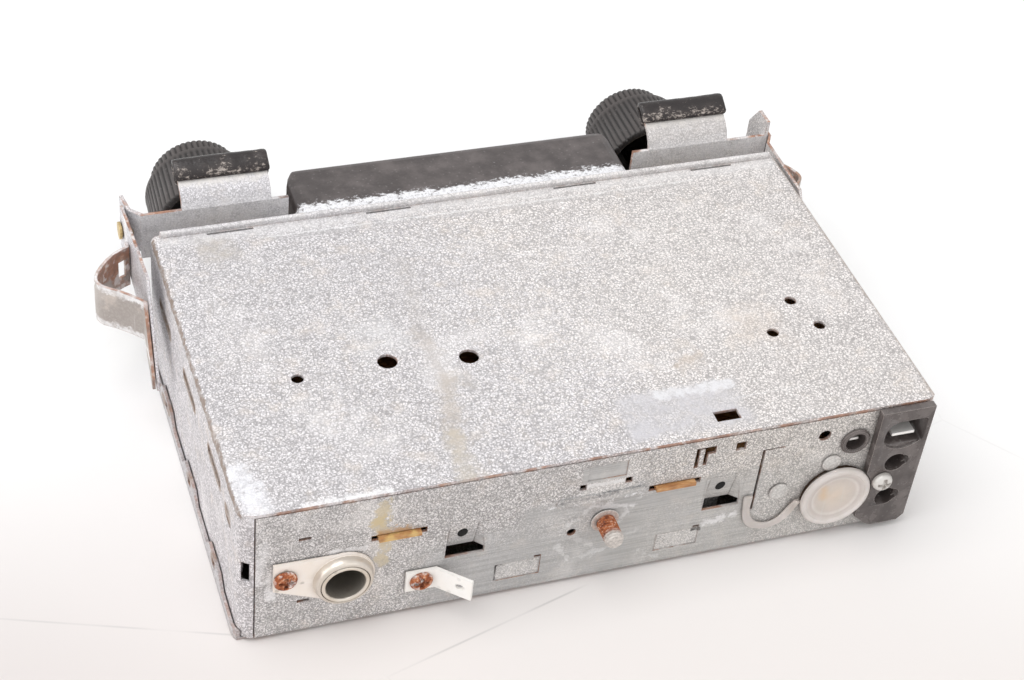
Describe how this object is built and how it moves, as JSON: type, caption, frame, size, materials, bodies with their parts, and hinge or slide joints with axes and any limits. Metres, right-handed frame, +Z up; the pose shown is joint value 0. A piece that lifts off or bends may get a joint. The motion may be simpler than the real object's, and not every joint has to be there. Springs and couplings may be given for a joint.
{
  "type": "car radio",
  "caption": "Two-shaft car radio with concentric ribbed knobs, dial nosepiece, push buttons, sprung mounting brackets and a rear panel of sockets.",
  "frame": {"origin": "the point of the mount underside: on the underside of the bottom cover, midway between the side walls and midway between the end of the rear stud and the face of the knobs", "axes": "+X towards the driver's right seen from the front, +Y towards the rear panel, +Z up"},
  "size_m": [0.2038, 0.1662, 0.0525],
  "materials": {
    "black_moulding": "matt",
    "black_paint": "matt",
    "black_plastic": "matt",
    "black_rubber": "matt",
    "brass": "satin",
    "brown_plastic": "matt",
    "clear_plastic": "polished",
    "dial_print": "printed",
    "pertinax": "satin",
    "plated_steel": "satin",
    "pointer_red": "satin",
    "polythene": "satin",
    "rusty_steel": "matt, rusty",
    "tinned_brass": "satin",
    "zinc_plate": "spangled zinc"
  },
  "bodies": {
    "case": {"aerial_contact": "tinned_brass", "aerial_insulator": "brown_plastic", "aerial_plate": "tinned_brass", "aerial_screw": "rusty_steel", "aerial_tube": "tinned_brass", "arm_rivet_left": "brass", "arm_rivet_right": "brass", "bottom_cover": "zinc_plate", "bracket_left": "zinc_plate", "bracket_right": "zinc_plate", "cap_strap": "polythene", "case_shell": "zinc_plate", "circuit_board": "pertinax", "connector_block": "black_moulding", "connector_screw": "plated_steel", "dial_lamp": "clear_plastic", "dial_lens": "clear_plastic", "dial_scale": "dial_print", "earth_lug": "tinned_brass", "earth_screw": "rusty_steel", "front_chassis": "zinc_plate", "nosepiece": "black_paint", "output_stage": "zinc_plate", "panel_rivet_1": "zinc_plate", "panel_rivet_2": "zinc_plate", "panel_socket": "black_moulding", "power_blade": "plated_steel", "rear_panel": "zinc_plate", "rear_stud": "rusty_steel", "rubber_strip_left": "black_rubber", "rubber_strip_right": "black_rubber", "shaft_bush_left": "brass", "shaft_bush_right": "brass", "shaft_nut_left": "plated_steel", "shaft_nut_right": "plated_steel", "side_arm_left": "zinc_plate", "side_arm_right": "zinc_plate", "side_spring_left": "zinc_plate", "side_spring_right": "zinc_plate", "socket_pin": "plated_steel", "trimmer_cup": "brown_plastic", "tuner_unit": "zinc_plate", "volume_control": "brown_plastic"},
    "volume": {"volume_knob": "black_plastic", "volume_shaft": "plated_steel"},
    "tone": {"tone_ring": "black_plastic", "tone_sleeve": "brass"},
    "tuning": {"tuning_knob": "black_plastic", "tuning_shaft": "plated_steel"},
    "fader": {"fader_ring": "black_plastic", "fader_sleeve": "brass"},
    "pointer": {"dial_pointer": "pointer_red"},
    "carriage": {"core_carriage": "plated_steel"},
    "cap": {"trimmer_cap": "polythene"},
    "trimmer": {"trimmer_screw": "brass"},
    "button_1": {"push_button_1": "black_plastic"},
    "button_2": {"push_button_2": "black_plastic"},
    "button_3": {"push_button_3": "black_plastic"},
    "button_4": {"push_button_4": "black_plastic"},
    "button_5": {"push_button_5": "black_plastic"}
  },
  "joints": [
    {"name": "volume_turn", "type": "hinge", "parent": "case", "child": "volume", "pos_m": [-0.0673, -0.0286, 0.0196], "axis": [0, 1, 0], "range_deg": [0, 285]},
    {"name": "tone_turn", "type": "hinge", "parent": "case", "child": "tone", "pos_m": [-0.0673, -0.0286, 0.0196], "axis": [0, 1, 0], "range_deg": [-135, 135]},
    {"name": "tuning_turn", "type": "hinge", "parent": "case", "child": "tuning", "pos_m": [0.0673, -0.0286, 0.0196], "axis": [0, 1, 0], "range_deg": [-200, 200]},
    {"name": "fader_turn", "type": "hinge", "parent": "case", "child": "fader", "pos_m": [0.0673, -0.0286, 0.0196], "axis": [0, 1, 0], "range_deg": [-135, 135]},
    {"name": "pointer_slide", "type": "slide", "parent": "case", "child": "pointer", "axis": [1, 0, 0], "range_m": [-0.03, 0.03]},
    {"name": "core_slide", "type": "slide", "parent": "case", "child": "carriage", "axis": [1, 0, 0], "range_m": [-0.01, 0.01]},
    {"name": "cap_pull", "type": "slide", "parent": "case", "child": "cap", "axis": [0, 1, 0], "range_m": [0, 0.006]},
    {"name": "trimmer_turn", "type": "hinge", "parent": "case", "child": "trimmer", "pos_m": [-0.0655, 0.07095, 0.0155], "axis": [0, 1, 0], "continuous": true},
    {"name": "button_1_push", "type": "slide", "parent": "case", "child": "button_1", "axis": [0, 1, 0], "range_m": [0, 0.004], "stiffness_N_per_m": 400, "springref_m": -0.002},
    {"name": "button_2_push", "type": "slide", "parent": "case", "child": "button_2", "axis": [0, 1, 0], "range_m": [0, 0.004], "stiffness_N_per_m": 400, "springref_m": -0.002},
    {"name": "button_3_push", "type": "slide", "parent": "case", "child": "button_3", "axis": [0, 1, 0], "range_m": [0, 0.004], "stiffness_N_per_m": 400, "springref_m": -0.002},
    {"name": "button_4_push", "type": "slide", "parent": "case", "child": "button_4", "axis": [0, 1, 0], "range_m": [0, 0.004], "stiffness_N_per_m": 400, "springref_m": -0.002},
    {"name": "button_5_push", "type": "slide", "parent": "case", "child": "button_5", "axis": [0, 1, 0], "range_m": [0, 0.004], "stiffness_N_per_m": 400, "springref_m": -0.002}
  ],
  "couplings": [
    {"joint": "pointer_slide", "follows": "tuning_turn", "m_per_rad": 0.0085},
    {"joint": "core_slide", "follows": "tuning_turn", "m_per_rad": 0.0028}
  ]
}
